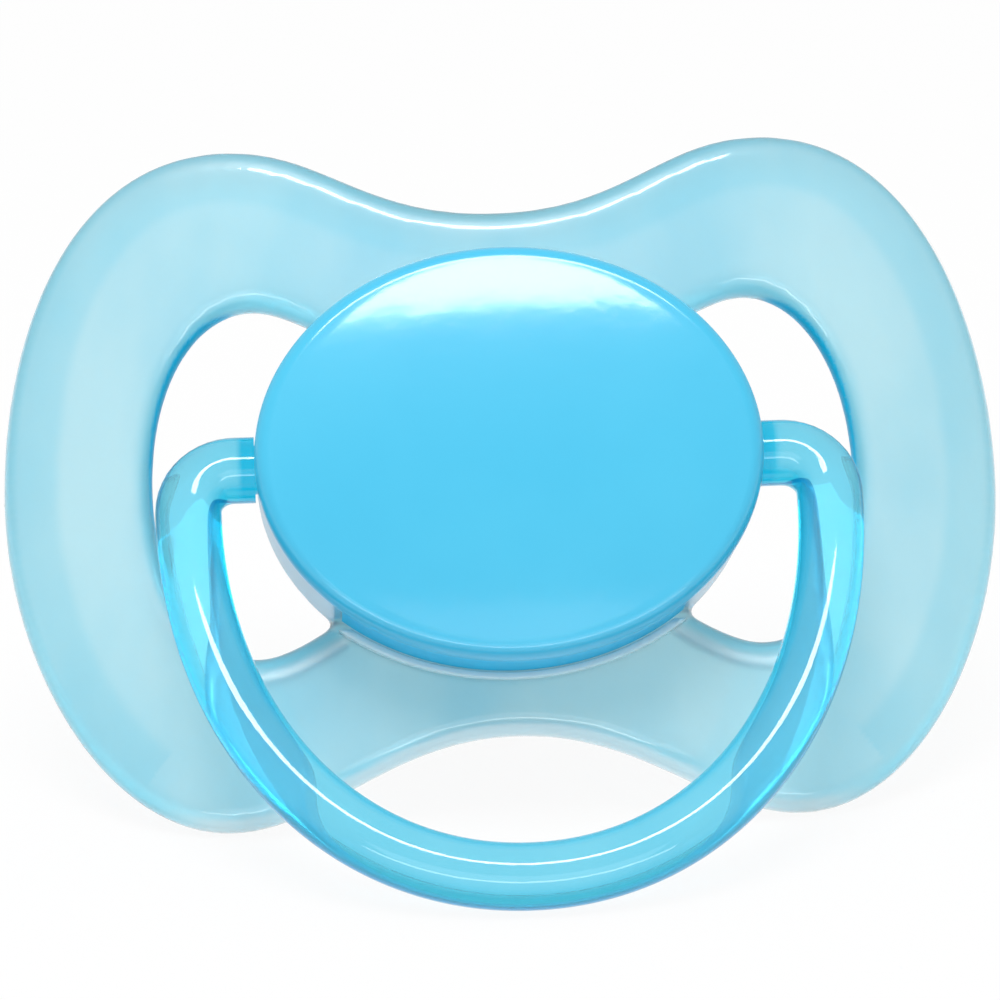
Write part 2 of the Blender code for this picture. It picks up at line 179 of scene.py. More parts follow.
def keepBand(mesh, halfHeight, inside):
    # level cuts at plus and minus halfHeight leave the middle, or the top and the bottom as two meshes
    kept = []
    for cuts in [(1, -1)] if inside else [(1,), (-1,)]:
        work = bmesh.new()
        work.from_mesh(mesh)
        for side in cuts:
            geometry = work.verts[:] + work.edges[:] + work.faces[:]
            cut = bmesh.ops.bisect_plane(work, geom=geometry, plane_co=(0, 0, side * halfHeight),
                                         plane_no=(0, 0, side), clear_outer=inside,
                                         clear_inner=not inside)
            rim = [item for item in cut["geom_cut"] if isinstance(item, bmesh.types.BMEdge)]
            bmesh.ops.edgeloop_fill(work, edges=rim)
        bmesh.ops.recalc_face_normals(work, faces=work.faces)
        band = bpy.data.meshes.new(mesh.name)
        work.to_mesh(band)
        work.free()
        kept.append(band)
    return kept


def carve(mesh, steps):
    # a chain of Boolean steps, each (other mesh, operation), baked to one mesh
    target = bpy.data.objects.new(mesh.name, mesh)
    bpy.context.scene.collection.objects.link(target)
    tools = []
    for other, operation in steps:
        tool = bpy.data.objects.new(other.name, other)
        bpy.context.scene.collection.objects.link(tool)
        tools.append(tool)
        modifier = target.modifiers.new(other.name, "BOOLEAN")
        modifier.operation = operation
        modifier.solver = "EXACT"
        modifier.object = tool
    result = bakedMesh(target)
    for tool in tools:
        bpy.data.objects.remove(tool)
    return result


def joined(name, meshes):
    mesh = bpy.data.meshes.new(name)
    work = bmesh.new()
    for part in meshes:
        work.from_mesh(part)
    work.to_mesh(mesh)
    work.free()
    return mesh


def addBezier(curve, nodes, closed):
    # node: point, direction of travel, reach of the two handles
    spline = curve.splines.new("BEZIER")
    spline.bezier_points.add(len(nodes) - 1)
    spline.use_cyclic_u = closed
    for node, (point, direction, reachIn, reachOut) in zip(spline.bezier_points, nodes):
        place = Vector((*point, 0.0))
        travel = Vector((*direction, 0.0))
        node.handle_left_type = "FREE"
        node.handle_right_type = "FREE"
        node.co = place
        node.handle_left = place - travel * reachIn
        node.handle_right = place + travel * reachOut


def mirrored(nodes):
    # the same path on the left side, travelled back
    flipped = []
    for (x, z), (dx, dz), reachIn, reachOut in reversed(nodes):
        flipped.append(((-x, z), (dx, -dz), reachOut, reachIn))
    return flipped


def addPiece(name, mesh, place, material, body, node, sharpAngle=None):
    mesh.transform(place)
    mesh.materials.clear()
    mesh.materials.append(material)
    mesh.shade_smooth()
    if sharpAngle:
        mesh.set_sharp_from_angle(angle=radians(sharpAngle))
    piece = bpy.data.objects.new(name, mesh)
    bpy.context.scene.collection.objects.link(piece)
    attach(piece, body)
    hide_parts(node)
    print("piece %s: %d faces" % (name, len(mesh.polygons)))


# Tools for materials

def hexColour(text):
    channels = [int(text[i:i + 2], 16) / 255 for i in (1, 3, 5)]
    linear = [c / 12.92 if c <= 0.04045 else ((c + 0.055) / 1.055) ** 2.4 for c in channels]
    return (*linear, 1.0)


def addNode(tree, kind, settings=None, values=None, links=None):
    made = tree.nodes.new(kind)
    for name, value in (settings or {}).items():
        setattr(made, name, value)
    for name, value in (values or {}).items():
        made.inputs[name].default_value = value
    for name, source in (links or {}).items():
        tree.links.new(source, made.inputs[name])
    return made


def mark(mesh, name, share):
    # a number at each point for the material, from the point's place and normal
    marks = mesh.attributes.new(name, "FLOAT", "POINT")
    marks.data.foreach_set("value", [share(vertex.co, vertex.normal) for vertex in mesh.vertices])


def perMetre(millimetres):
    # noise scale for a grain of this size
    return 1000 / millimetres


noise = {"detail": 3.0, "deep": 0.35, "pale": 0.65}     # noise levels of the deep and the pale tint
mixShare, mixBase, mixTint, mixResult = 0, 6, 7, 2      # colour sockets of the Mix node


def mouldedPlastic(name, look):
    # look holds two tints, the grain of the mould, the painted tints and fades of marked places,
    # the shader's fixed values and the absorption
    material = bpy.data.materials.new(name)
    material.use_nodes = True
    tree = material.node_tree
    tree.nodes.clear()
    place = addNode(tree, "ShaderNodeTexCoord").outputs["Object"]
    drawn = addNode(tree, "ShaderNodeMapping", values={"Scale": (1.0, 1.0, look["flowStretch"])},
                    links={"Vector": place})
    flow = addNode(tree, "ShaderNodeTexNoise",
                   values={"Scale": perMetre(look["flowSize"]), "Detail": noise["detail"]},
                   links={"Vector": drawn.outputs["Vector"]})
    tint = addNode(tree, "ShaderNodeValToRGB", links={"Fac": flow.outputs["Fac"]})
    for stop, tone in zip(tint.color_ramp.elements, ("deep", "pale")):
        stop.position = noise[tone]
        stop.color = hexColour(look[tone])
    grain = addNode(tree, "ShaderNodeTexNoise",
                    values={"Scale": perMetre(look["grainSize"]), "Detail": noise["detail"]},
                    links={"Vector": place})
    dull, spread = look["roughness"], look["roughnessSpread"]
    gloss = addNode(tree, "ShaderNodeMapRange",
                    values={"To Min": dull - spread, "To Max": dull + spread},
                    links={"Value": grain.outputs["Fac"]})
    colour = tint.outputs["Color"]
    for share, paintedTint in look.get("marks", {}).items():
        marked = addNode(tree, "ShaderNodeAttribute", {"attribute_name": share})
        mixed = addNode(tree, "ShaderNodeMix", {"data_type": "RGBA"}, {mixTint: hexColour(paintedTint)},
                        {mixShare: marked.outputs["Fac"], mixBase: colour})
        colour = mixed.outputs[mixResult]
    bump = addNode(tree, "ShaderNodeBump",
                   values={"Strength": look["bump"], "Distance": look["bumpDepth"]},
                   links={"Height": grain.outputs["Fac"]})
    shader = addNode(tree, "ShaderNodeBsdfPrincipled", values=look["shader"],
                     links={"Base Color": colour, "Roughness": gloss.outputs["Result"],
                            "Normal": bump.outputs["Normal"], "Coat Normal": bump.outputs["Normal"]})
    for socket, (share, value) in look.get("fades", {}).items():
        marked = addNode(tree, "ShaderNodeAttribute", {"attribute_name": share})
        fade = addNode(tree, "ShaderNodeMapRange",
                       values={"To Min": look["shader"][socket], "To Max": value},
                       links={"Value": marked.outputs["Fac"]})
        tree.links.new(fade.outputs["Result"], shader.inputs[socket])
    output = addNode(tree, "ShaderNodeOutputMaterial", links={"Surface": shader.outputs["BSDF"]})
    if "absorb" in look:
        volume = addNode(tree, "ShaderNodeVolumeAbsorption",
                         values={"Color": hexColour(look["absorb"]), "Density": look["density"]})
        tree.links.new(volume.outputs["Volume"], output.inputs["Volume"])
    return material


# Milky polypropylene: cloudy and translucent under a glossy skin, with painted light and shade on edges
# and rims
milkyPolypropylene = mouldedPlastic("milkyPolypropylene", {
    "deep": "#C6EEFB", "pale": "#E9FAFF", "flowSize": 9.0, "flowStretch": 0.3,
    "grainSize": 0.35,                       # spark-eroded mould, drawn coarse to show
    "roughness": 0.34, "roughnessSpread": 0.04, "bump": 0.05, "bumpDepth": 0.00005,
    # painted shade along the edges, painted glow on the vent walls, painted highlights on the rims
    "marks": {"paintedEdgeShadeShare": "#8CDDF0", "paintedWallLightShare": "#04CCFA", "paintedRimHighlightShare": "#E6FAFE"},
    "fades": {"Transmission Weight": ("paintedLightShare", 0.05), "Coat Weight": ("paintedWallLightShare", 0.0)},
    "absorb": "#76F0F8", "density": 240.0,
    "shader": {"IOR": 1.49, "Specular IOR Level": 0.2, "Transmission Weight": 0.70,
               "Coat Weight": 1.0, "Coat Roughness": 0.06},
})

# Polished polypropylene over a pigmented core: a smooth, soft-edged gloss on a cloudy blue body
polishedPolypropylene = mouldedPlastic("polishedPolypropylene", {
    "deep": "#3FC2EB", "pale": "#48C7EE", "flowSize": 18.0, "flowStretch": 1.0,
    "grainSize": 2.2,                        # slight waviness of a hand-polished mould
    "roughness": 0.42, "roughnessSpread": 0.03, "bump": 0.35, "bumpDepth": 0.00005,
    # painted light: bright deep blue on the skirt wall below the rounded edge
    "marks": {"paintedWallLightShare": "#10C6F4"},
    "fades": {"Coat Weight": ("paintedWallLightShare", 0.0)},
    "shader": {"IOR": 1.49, "Specular IOR Level": 0.25, "Coat Weight": 1.0, "Coat Roughness": 0.11},
})

# Clear random polypropylene, tinted: glassy bar with a painted deep blue on its sides and shoulders
clearPolypropylene = mouldedPlastic("clearPolypropylene", {
    "deep": "#9CE6FA", "pale": "#AAEBFC", "flowSize": 6.0, "flowStretch": 0.5,
    "grainSize": 1.0, "roughness": 0.04, "roughnessSpread": 0.02,
    "bump": 0.02, "bumpDepth": 0.00004,
    # painted shade on the bar's sides and shoulders
    "marks": {"paintedEdgeShadeShare": "#20CEF0"},
    "absorb": "#38EAF6", "density": 200.0,
    "shader": {"IOR": 1.49, "Transmission Weight": 0.86},
})

# Liquid silicone rubber: clear, faintly milky, with a dry dull skin
clearSilicone = mouldedPlastic("clearSilicone", {
    "deep": "#F6F8F4", "pale": "#FCFDFB", "flowSize": 9.0, "flowStretch": 0.5,
    "grainSize": 0.30, "roughness": 0.16, "roughnessSpread": 0.05,
    "bump": 0.04, "bumpDepth": 0.00004,
    "absorb": "#F1EFDF", "density": 20.0,
    "shader": {"IOR": 1.41, "Transmission Weight": 0.94},
})

# Natural polypropylene: unpigmented, whitish, dull
naturalPolypropylene = mouldedPlastic("naturalPolypropylene", {
    "deep": "#E4EDF1", "pale": "#EEF4F6", "flowSize": 8.0, "flowStretch": 1.0,
    "grainSize": 0.40, "roughness": 0.38, "roughnessSpread": 0.04,
    "bump": 0.04, "bumpDepth": 0.00005,
    "shader": {"IOR": 1.49, "Transmission Weight": 0.15},
})
print("materials: polypropylene and silicone")


# Button cover: domed oval cap, two arcs of skirt with a snap bead, a tab over each journal

cover = {"width": 0.0288, "height": 0.0238, "front": 0.0079, "domeRise": 0.0010, "edge": 0.0010,
         "wall": 0.0012, "ceiling": 0.0056, "window": 0.0172, "skirtStep": 0.00015, "skirtGap": 0.0001,
         "bead": 0.0005, "beadWidth": 0.0006, "beadFront": 0.0035,
         "bossRadius": 0.0062, "bossWall": 0.0012, "domeRings": 28, "edgeRings": 12}
coverHalf = cover["width"] / 2
oval = cover["height"] / cover["width"]
skirtInner = coverHalf - cover["wall"]


def coverMesh():
    ceiling = cover["ceiling"]
    edgeStart = coverHalf - cover["edge"]
    edgeFront = cover["front"] - cover["domeRise"]
    profile = []
    for i in range(cover["domeRings"] + 1):
        share = i / cover["domeRings"]
        profile.append((edgeStart * share, cover["front"] - cover["domeRise"] * share ** 2))
    for i in range(1, cover["edgeRings"] + 1):
        turn = pi / 2 * i / cover["edgeRings"]
        profile.append((edgeStart + cover["edge"] * sin(turn),
                        edgeFront - cover["edge"] * (1 - cos(turn))))
    bossInner = cover["bossRadius"] - cover["bossWall"]
    bossBack = plugFront + gap
    under = [(coverHalf, ceiling), (cover["bossRadius"], ceiling), (cover["bossRadius"], bossBack),
             (bossInner, bossBack), (bossInner, ceiling), (0.0, ceiling)]
    profile += softCorners([profile[-1], *under], tooling["cornerRadius"], False)[1:]
    cap = ovalLathe("coverCap", profile, closed=False, radius=0)

    skirtBack = skirtSeat + cover["skirtGap"]
    skirtOuter = coverHalf - cover["skirtStep"]
    bead = skirtInner - cover["bead"]
    beadFront, beadWidth = cover["beadFront"], cover["beadWidth"]
    skirt = ovalLathe("skirt", [
        (skirtOuter, ceiling + sink), (skirtOuter, skirtBack), (skirtInner, skirtBack),
        (skirtInner, beadFront - beadWidth), (bead, beadFront - beadWidth * 3 / 4),
        (bead, beadFront - beadWidth / 4), (skirtInner, beadFront), (skirtInner, ceiling + sink)])
    steps = [(arc, "UNION") for arc in keepBand(skirt, cover["window"] / 2, False)]
    tabHalf = bearingRadius - gap
    for side in (-1, 1):
        ends = (side * (collarInner + gap), side * (cheekOuter - gap))
        tab = block("bearingTab", (min(ends), -ceiling - sink, -tabHalf),
                    (max(ends), -fits["axisFront"], tabHalf))
        steps.append((tab, "UNION"))
    steps.append((crossPin("bearingCrown", bearingRadius, coverHalf), "DIFFERENCE"))
    mesh = carve(cap, steps)

    def paintedSkirtLight(place, normal):
        # painted light: a bright deep blue below the rounded edge stands in for light through the shaded
        # wall; no gloss
        return smoothStep((place.y + edgeFront - cover["edge"] / 2) / cover["edge"])

    mark(mesh, "paintedWallLightShare", paintedSkirtLight)
    return mesh


# Shield: outline with vents, rounded edge, wings swept towards the face, collar for the ring

plate = {"width": 0.058, "thickness": 0.0028, "edge": 0.00125, "sweep": 0.090,
         "notch": (0.01535, 0.0079), "arch": (0.0153, 0.0073),          # height, handle reach
         "crest": (0.0161, 0.0198, 0.0063, 0.0092),                     # side, height, reach in and out
         "waist": (0.0, 0.0091, 0.0100),                                # height, reach up and down
         "foot": (0.0161, 0.02009, 0.0071, 0.0052),                     # side, depth, reach out and in
         "ventWidth": 0.0059, "ventHeight": 0.0204,
         "ventSide": 0.0062, "ventTop": 0.0032, "ventCorner": 0.0018,   # handle reaches
         "collarWall": 0.0014, "recessDepth": 0.0012, "seatStep": 0.0001,
         "lipWidth": 0.0005, "lipHeight": 0.0003, "lipSpan": 0.0182, "lipGap": 0.00008,
         "padHeight": 0.0008, "padEdge": 0.0003,
         # fineness of the mesh
         "outlineSteps": 48, "edgeSteps": 5, "bendSpacing": 0.001,
         "voxel": 0.00025, "softening": 0.5, "softenSteps": 10,
         # bands along the edges, vent walls and lower rims that get painted light and shade
         "bandWidth": 0.0014, "borderWidth": 0.0036, "borderFade": 0.0008, "borderDepth": 0.3,
         "wallSideways": 0.85, "wallUpwards": 0.5, "wallStart": 0.6, "wallFade": 0.2,
         "cheekShare": 0.6, "cheekTurn": 0.5,
         "rimStart": 0.004, "rimFade": 0.005, "rimLine": 0.00125, "rimLineWidth": 0.0004,
         "rimTurn": 0.25, "rimTurnFade": 0.4}
halfThickness = plate["thickness"] / 2
collarOuter = skirtInner - gap
collarInner = collarOuter - plate["collarWall"]
collarFront = cover["ceiling"] - gap
cheekOuter = coverHalf - gap / 3
cheekHalf = cover["window"] / 2 - gap
skirtSeat = halfThickness + plate["seatStep"]
hubFloor = halfThickness - plate["recessDepth"]


def plateMesh():
    curve = bpy.data.curves.new("shieldPlate", "CURVE")
    curve.dimensions = "2D"
    curve.fill_mode = "BOTH"
    curve.resolution_u = plate["outlineSteps"]
    curve.extrude = halfThickness - plate["edge"]
    curve.bevel_depth = plate["edge"]
    curve.bevel_resolution = plate["edgeSteps"]
    curve.offset = -plate["edge"]
    notchHeight, notchReach = plate["notch"]
    archDepth, archReach = plate["arch"]
    crestSide, crestHeight, crestIn, crestOut = plate["crest"]
    waistHeight, waistUp, waistDown = plate["waist"]
    footSide, footDepth, footOut, footIn = plate["foot"]
    notch = ((0.0, notchHeight), right, notchReach, notchReach)
    arch = ((0.0, -archDepth), left, archReach, archReach)
    wing = [((crestSide, crestHeight), right, crestIn, crestOut),
            ((plate["width"] / 2, waistHeight), down, waistUp, waistDown),
            ((footSide, -footDepth), left, footOut, footIn)]
    addBezier(curve, [notch, *wing, arch, *mirrored(wing)], True)

    # the vents end against the cheeks of the hub
    corner = cheekOuter * sqrt(1 - (cheekHalf / (cheekOuter * oval)) ** 2) - gap
    inner = (collarInner + cheekOuter) / 2
    top = plate["ventHeight"] / 2
    vent = [((corner, cheekHalf), up, 0.0, 0.0),
            ((coverHalf, top), right, plate["ventCorner"], plate["ventTop"]),
            ((coverHalf + plate["ventWidth"], 0.0), down, plate["ventSide"], plate["ventSide"]),
            ((coverHalf, -top), left, plate["ventTop"], plate["ventCorner"]),
            ((corner, -cheekHalf), up, 0.0, 0.0),
            ((inner, 0.0), up, cheekHalf / 2, cheekHalf / 2)]
    addBezier(curve, vent, True)
    addBezier(curve, mirrored(vent), True)
    mesh = bakedMesh(bpy.data.objects.new("shieldPlate", curve))
    weld(mesh)
    mesh.transform(upright)

    work = bmesh.new()
    work.from_mesh(mesh)
    rimHalf = halfThickness - plate["edge"] + tooling["weld"]
    outline = [(vertex.co.x, 0.0, vertex.co.z) for vertex in work.verts if abs(vertex.co.y) < rimHalf]
    count = int(plate["width"] / plate["bendSpacing"])
    for i in range(count):
        cutAt = (i - (count - 1) / 2) * plate["bendSpacing"]
        geometry = work.verts[:] + work.edges[:] + work.faces[:]
        bmesh.ops.bisect_plane(work, geom=geometry, plane_co=(cutAt, 0, 0), plane_no=(1, 0, 0))
    for vertex in work.verts:
        vertex.co.y += plate["sweep"] - sqrt(plate["sweep"] ** 2 - vertex.co.x ** 2)
    bmesh.ops.triangulate(work, faces=[face for face in work.faces if len(face.verts) > 4])
    work.to_mesh(mesh)
    work.free()
    return mesh, outline


def shieldMesh():
    groove = collarOuter - cover["bead"]
    grooveFront = cover["beadFront"] + gap
    grooveBack = cover["beadFront"] - cover["beadWidth"] - gap
    collar = ovalLathe("collar", [
        (collarInner, collarFront), (collarOuter, collarFront), (collarOuter, grooveFront),
        (groove, grooveFront), (groove, grooveBack), (collarOuter, grooveBack),
        (collarOuter, -sink), (collarInner, -sink)], radius=0)
    cheekBack = -halfThickness + gap / 2
    cheeks = ovalLathe("cheeks", [
        (collarInner, collarFront), (cheekOuter, collarFront),
        (cheekOuter, cheekBack), (collarInner, cheekBack)], radius=0)
    lipInner = coverHalf - cover["skirtStep"] + plate["lipGap"]
    lipOuter = lipInner + plate["lipWidth"]
    lipFront = skirtSeat + plate["lipHeight"]
    lip = ovalLathe("lip", [
        (lipInner, skirtSeat), (lipInner, lipFront), (lipOuter, lipFront),
        (lipOuter, 0.0), (lipInner, 0.0)])
    padBack = -halfThickness - plate["padHeight"]
    pad = roundLathe("teatSeat", [
        (0.0, -sink), (recessRadius, -sink), (recessRadius, padBack + plate["padEdge"]),
        (recessRadius - plate["padEdge"], padBack), (0.0, padBack)], radius=0)
    neckHole = teat["neck"] + gap
    recess = roundLathe("teatRecess", [
        (0.0, cover["front"]), (recessRadius, cover["front"]), (recessRadius, hubFloor),
        (neckHole, hubFloor), (neckHole, padBack - sink), (0.0, padBack - sink)], radius=0)
    slot = block("saddleSlot", (-coverHalf, -cover["front"], -bearingRadius),
                 (coverHalf, -fits["axisFront"], bearingRadius))
    saddle = crossPin("saddle", bearingRadius, coverHalf)
    walls = [collar, *keepBand(cheeks, cheekHalf, True)]
    parts = [carve(wall, [(saddle.copy(), "DIFFERENCE"), (slot.copy(), "DIFFERENCE")]) for wall in walls]
    wings, outline = plateMesh()
    parts += [carve(solid, [(recess.copy(), "DIFFERENCE")]) for solid in (wings, pad)]

    # one even skin over all of it, so that inner corners get a fillet
    moulded = bpy.data.objects.new("shield", joined("shield", parts))
    remesh = moulded.modifiers.new("Remesh", "REMESH")
    remesh.mode = "VOXEL"
    remesh.voxel_size = plate["voxel"]
    remesh.use_smooth_shade = True
    soften = moulded.modifiers.new("Soften", "SMOOTH")
    soften.factor = plate["softening"]
    soften.iterations = plate["softenSteps"]
    mesh = joined("shield", [bakedMesh(moulded), *keepBand(lip, plate["lipSpan"] / 2, False)])

    ventOuter = coverHalf + plate["ventWidth"] + plate["edge"]
    ventTop = plate["ventHeight"] / 2 + plate["edge"]
    near = KDTree(len(outline))
    for i, point in enumerate(outline):
        near.insert(point, i)
    near.balance()

    def hubReach(place):
        return sqrt(place.x ** 2 + (place.z / oval) ** 2)

    def paintedVentWallLight(place, normal):
        # painted light: the outer and upper walls of the vents get a bright deep blue that stands in for
        # light running along the wing and coming out there, and the cheeks get less of it
        onCheek = abs(place.z) < cheekHalf and abs(hubReach(place) - cheekOuter) < gap
        if onCheek and abs(normal.y) < plate["cheekTurn"]:
            return plate["cheekShare"]
        if not (collarOuter < abs(place.x) < ventOuter and abs(place.z) < ventTop):
            return 0.0
        inward = -normal.x if place.x > 0 else normal.x
        facing = plate["wallSideways"] * inward - plate["wallUpwards"] * normal.z
        return smoothStep((facing - plate["wallStart"]) / plate["wallFade"])

    def paintedRimHighlight(place, normal):
        # painted highlight: the lip under the cover and a line on the lower vents get a near-white tint,
        # and the rounded rim of the arch a painted reflection of the white floor
        reach = hubReach(place)
        onLip = lipInner - sink < reach < lipOuter + sink and place.y < -skirtSeat
        if onLip and abs(place.z) > cheekHalf:
            return 1.0
        if place.z > -plate["rimStart"] or reach < lipOuter:
            return 0.0
        point, _, distance = near.find((place.x, 0.0, place.z))
        fade = smoothStep((ventOuter - abs(place.x)) / plate["rimFade"])
        if point.z > -ventTop:
            return fade * smoothStep(1 - abs(distance - plate["rimLine"]) / plate["rimLineWidth"])
        return fade * smoothStep((abs(normal.z) - plate["rimTurn"]) / plate["rimTurnFade"])

    def paintedEdgeShade(place, normal):
        # painted shade: a deeper blue band along every edge, and a faint wider one inside the outline of
        # the wings
        if hubReach(place) < lipOuter:
            return 0.0
        point, _, distance = near.find((place.x, 0.0, place.z))
        narrow = smoothStep(1 - distance / plate["bandWidth"])
        if abs(point.x) < ventOuter and point.z < ventTop:
            return narrow
        wide = smoothStep((plate["borderWidth"] - distance) / plate["borderFade"])
        return max(narrow, plate["borderDepth"] * wide)

    def paintedLightPlaces(place, normal):
        # the places of painted light aren't looked through, so their painted tint shows
        return max(paintedVentWallLight(place, normal), paintedRimHighlight(place, normal))

    # painted light and shade as numbers at each point
    mark(mesh, "paintedWallLightShare", paintedVentWallLight)
    mark(mesh, "paintedRimHighlightShare", paintedRimHighlight)
    mark(mesh, "paintedEdgeShadeShare", paintedEdgeShade)
    mark(mesh, "paintedLightShare", paintedLightPlaces)
    return mesh


# Ring handle: a bar swept along its path by nodes, with a journal and a head at each end

ring = {"bar": 0.00377, "endGap": -0.00002, "halfWidth": 0.0182, "drop": 0.0252, "corner": 0.0026,
        "quarterArc": 0.5523,                      # handle reach that rounds a corner, in radii
        "sideReach": 0.0129, "bottomReach": 0.0107,
        "journal": 0.0028, "head": 0.0039, "headLength": 0.0012, "headChamfer": 0.0003,
        "journalSteps": 40, "journalCorner": 0.0001,
        "pathSteps": 64, "sides": 40, "spacing": 0.00035,
        "edgeTurn": 0.92, "edgeFade": 0.5, "shoulder": 0.0011, "shoulderFade": 0.0003}
journalRadius = ring["journal"] / 2
bearingRadius = journalRadius + gap


def barTree(material):
    tree = bpy.data.node_groups.new("sweptBar", "GeometryNodeTree")
    sockets = tree.interface
    sockets.new_socket("Path", in_out="INPUT", socket_type="NodeSocketGeometry")
    sockets.new_socket("Bar diameter", in_out="INPUT", socket_type="NodeSocketFloat")
    sockets.new_socket("Sides", in_out="INPUT", socket_type="NodeSocketInt")
    sockets.new_socket("Spacing", in_out="INPUT", socket_type="NodeSocketFloat")
    sockets.new_socket("Bar", in_out="OUTPUT", socket_type="NodeSocketGeometry")
    given = addNode(tree, "NodeGroupInput").outputs
    radius = addNode(tree, "ShaderNodeMath", {"operation": "MULTIPLY"}, {1: 0.5},
                     {0: given["Bar diameter"]})
    section = addNode(tree, "GeometryNodeCurvePrimitiveCircle", links={
        "Resolution": given["Sides"], "Radius": radius.outputs["Value"]})
    path = addNode(tree, "GeometryNodeResampleCurve", {"mode": "LENGTH"},
                   links={"Curve": given["Path"], "Length": given["Spacing"]})
    swept = addNode(tree, "GeometryNodeCurveToMesh", values={"Fill Caps": True}, links={
        "Curve": path.outputs["Curve"], "Profile Curve": section.outputs["Curve"]})
    merged = addNode(tree, "GeometryNodeMergeByDistance", values={"Distance": tooling["weld"]},
                     links={"Geometry": swept.outputs["Mesh"]})
    real = addNode(tree, "GeometryNodeRealizeInstances", links={"Geometry": merged.outputs["Geometry"]})
    dressed = addNode(tree, "GeometryNodeSetMaterial", values={"Material": material},
                      links={"Geometry": real.outputs["Geometry"]})
    addNode(tree, "NodeGroupOutput", links={"Bar": dressed.outputs["Geometry"]})
    return tree


def ringMesh():
    curve = bpy.data.curves.new("ringPath", "CURVE")
    curve.dimensions = "3D"
    curve.resolution_u = ring["pathSteps"]
    turn = ring["quarterArc"] * ring["corner"]
    arm = [((coverHalf + ring["endGap"], 0.0), right, 0.0, sink),
           ((ring["halfWidth"] - ring["corner"], 0.0), right, sink, turn),
           ((ring["halfWidth"], -ring["corner"]), down, turn, ring["sideReach"])]
    bottom = ((0.0, -ring["drop"]), left, ring["bottomReach"], ring["bottomReach"])
    addBezier(curve, [*arm, bottom, *mirrored(arm)], False)
    path = bpy.data.objects.new("ringPath", curve)
    tree = barTree(clearPolypropylene)
    sweep = path.modifiers.new("Swept bar", "NODES")
    sweep.node_group = tree
    wanted = {"Bar diameter": ring["bar"], "Sides": ring["sides"], "Spacing": ring["spacing"]}
    for socket in tree.interface.items_tree:
        if socket.name in wanted:
            sweep[socket.identifier] = wanted[socket.name]
    bar = bakedMesh(path)
    weld(bar)
    bar.transform(upright)

    journalEnd = coverHalf + 3 * sink
    headOuter = collarInner - 2 * gap
    headInner = headOuter - ring["headLength"]
    headRadius = ring["head"] / 2
    chamfer = ring["headChamfer"]
    steps = []
    for side in (-1, 1):
        journal = lathe("journal", [
            (0.0, journalEnd), (journalRadius, journalEnd), (journalRadius, headOuter),
            (headRadius - chamfer, headOuter), (headRadius, headOuter - chamfer),
            (headRadius, headInner + chamfer), (headRadius - chamfer, headInner), (0.0, headInner)],
            False, ring["journalSteps"], ring["journalCorner"])
        journal.transform(Matrix.Rotation(side * pi / 2, 4, "Y"))
        steps.append((journal, "UNION"))
    mesh = carve(bar, steps)

    def paintedBarEdgeShade(place, normal):
        # painted shade: the sides that face along the bar's plane get the deeper blue of refracted
        # edges, and the shoulders a painted shade where the bar meets the cover
        side = smoothStep((ring["edgeTurn"] - abs(normal.y)) / ring["edgeFade"])
        if place.z < -ring["bar"]:
            return side
        inShoulder = coverHalf + ring["shoulder"] - abs(place.x)
        return max(side, smoothStep(inShoulder / ring["shoulderFade"]))

    mark(mesh, "paintedEdgeShadeShare", paintedBarEdgeShade)
    return mesh


# Teat: a thin hollow silicone bulb on a neck, with a flange that the plug clamps

teat = {"neck": 0.0057, "waist": 0.0050, "wall": 0.0012, "length": 0.02955,
        "flange": 0.0083, "flangeThickness": 0.0015, "flangeFillet": 0.0004,
        "bulbHeight": 0.01158, "bulbWidth": 0.0150, "bulbStart": 0.0080, "bulbFull": 0.0200,
        "stations": 48, "endTurns": 20}
flangeBack = hubFloor + gap
flangeFront = flangeBack + teat["flangeThickness"]
recessRadius = teat["flange"] + gap


def bulbShare(reach):
    # 0 at the neck, 1 where the bulb is full
    return smoothStep((reach - teat["bulbStart"]) / (teat["bulbFull"] - teat["bulbStart"]))


def teatOutline(inset):
    padBack = halfThickness + plate["padHeight"]
    endRadius = teat["bulbHeight"] / 2
    endCentre = halfThickness + teat["length"] - endRadius
    points = []
    for i in range(teat["stations"]):
        reach = padBack + (endCentre - padBack) * i / (teat["stations"] - 1)
        base = smoothStep(1 - (reach - padBack) / teat["bulbStart"])
        radius = teat["waist"] + (teat["neck"] - teat["waist"]) * base
        radius += (endRadius - teat["waist"]) * bulbShare(reach)
        points.append((radius - inset, -reach))
    for i in range(1, teat["endTurns"] + 1):
        angle = pi / 2 * i / teat["endTurns"]
        points.append(((endRadius - inset) * cos(angle), -endCentre - (endRadius - inset) * sin(angle)))
    points[-1] = (0.0, points[-1][1])
    return points


def teatMesh():
    flange = [(teat["neck"] - teat["wall"], flangeFront), (teat["flange"], flangeFront),
              (teat["flange"], flangeBack), (teat["neck"], flangeBack)]
    inside = list(reversed(teatOutline(teat["wall"])))
    outside = teatOutline(0.0)
    rim = softCorners([inside[-1], *flange, outside[0]], teat["flangeFillet"], False)[1:-1]
    mesh = roundLathe("teat", inside + rim + outside, radius=0)
    widen = teat["bulbWidth"] / teat["bulbHeight"] - 1
    for vertex in mesh.vertices:
        vertex.co.x *= 1 + widen * bulbShare(vertex.co.y)
    return mesh


# Plug: flange and hollow stem in the neck of the teat

plug = {"flangeThickness": 0.0014, "stemLength": 0.0055, "wall": 0.0014, "chamfer": 0.0008}
plugBack = flangeFront + gap
plugFront = plugBack + plug["flangeThickness"]
stemRadius = teat["neck"] - teat["wall"] - gap


